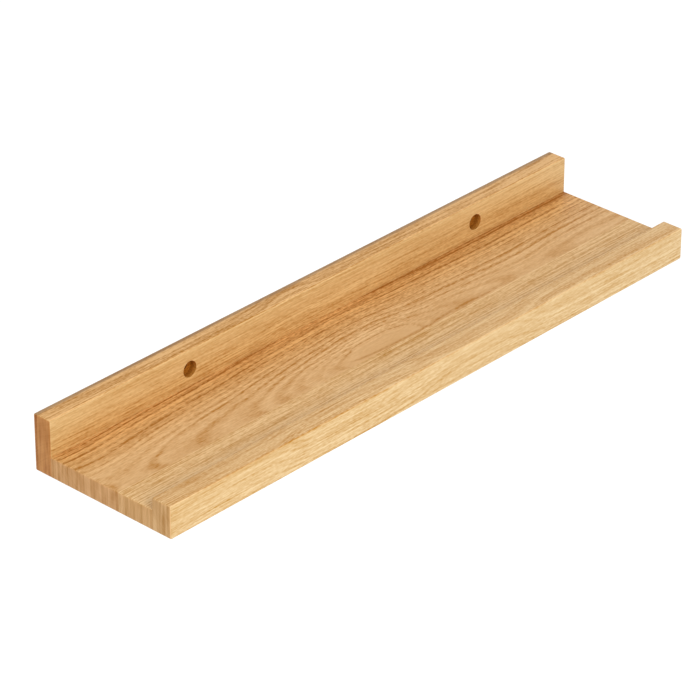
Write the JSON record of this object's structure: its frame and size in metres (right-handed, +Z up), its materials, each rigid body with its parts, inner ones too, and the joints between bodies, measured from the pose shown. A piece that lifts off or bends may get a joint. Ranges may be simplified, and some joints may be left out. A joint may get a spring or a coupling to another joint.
{
  "type": "wall shelf",
  "caption": "Long solid oak wall ledge with a raised back board, a flat shelf board and a low front lip, fixed through counterbored screw holes in the back board.",
  "frame": {"origin": "on the wall face of the back board, midway along the length and level with the screw holes", "axes": "+X along the shelf to the right as seen from the room, +Y into the wall, +Z up"},
  "size_m": [0.6, 0.146, 0.05],
  "materials": {
    "oak_back_board": "satin oiled oak, golden",
    "oak_shelf_board": "satin oiled oak, tan, figured",
    "oak_front_lip": "satin oiled oak, light",
    "beech_dowel": "bare beech"
  },
  "bodies": {
    "root": {"back_board": "oak_back_board", "shelf_rear_stave": "oak_shelf_board", "shelf_front_stave": "oak_shelf_board", "front_lip": "oak_front_lip", "back_dowel_1": "beech_dowel", "back_dowel_2": "beech_dowel", "back_dowel_3": "beech_dowel", "back_dowel_4": "beech_dowel", "back_dowel_5": "beech_dowel", "back_dowel_6": "beech_dowel", "lip_dowel_1": "beech_dowel", "lip_dowel_2": "beech_dowel", "lip_dowel_3": "beech_dowel", "lip_dowel_4": "beech_dowel", "lip_dowel_5": "beech_dowel"}
  },
  "joints": []
}
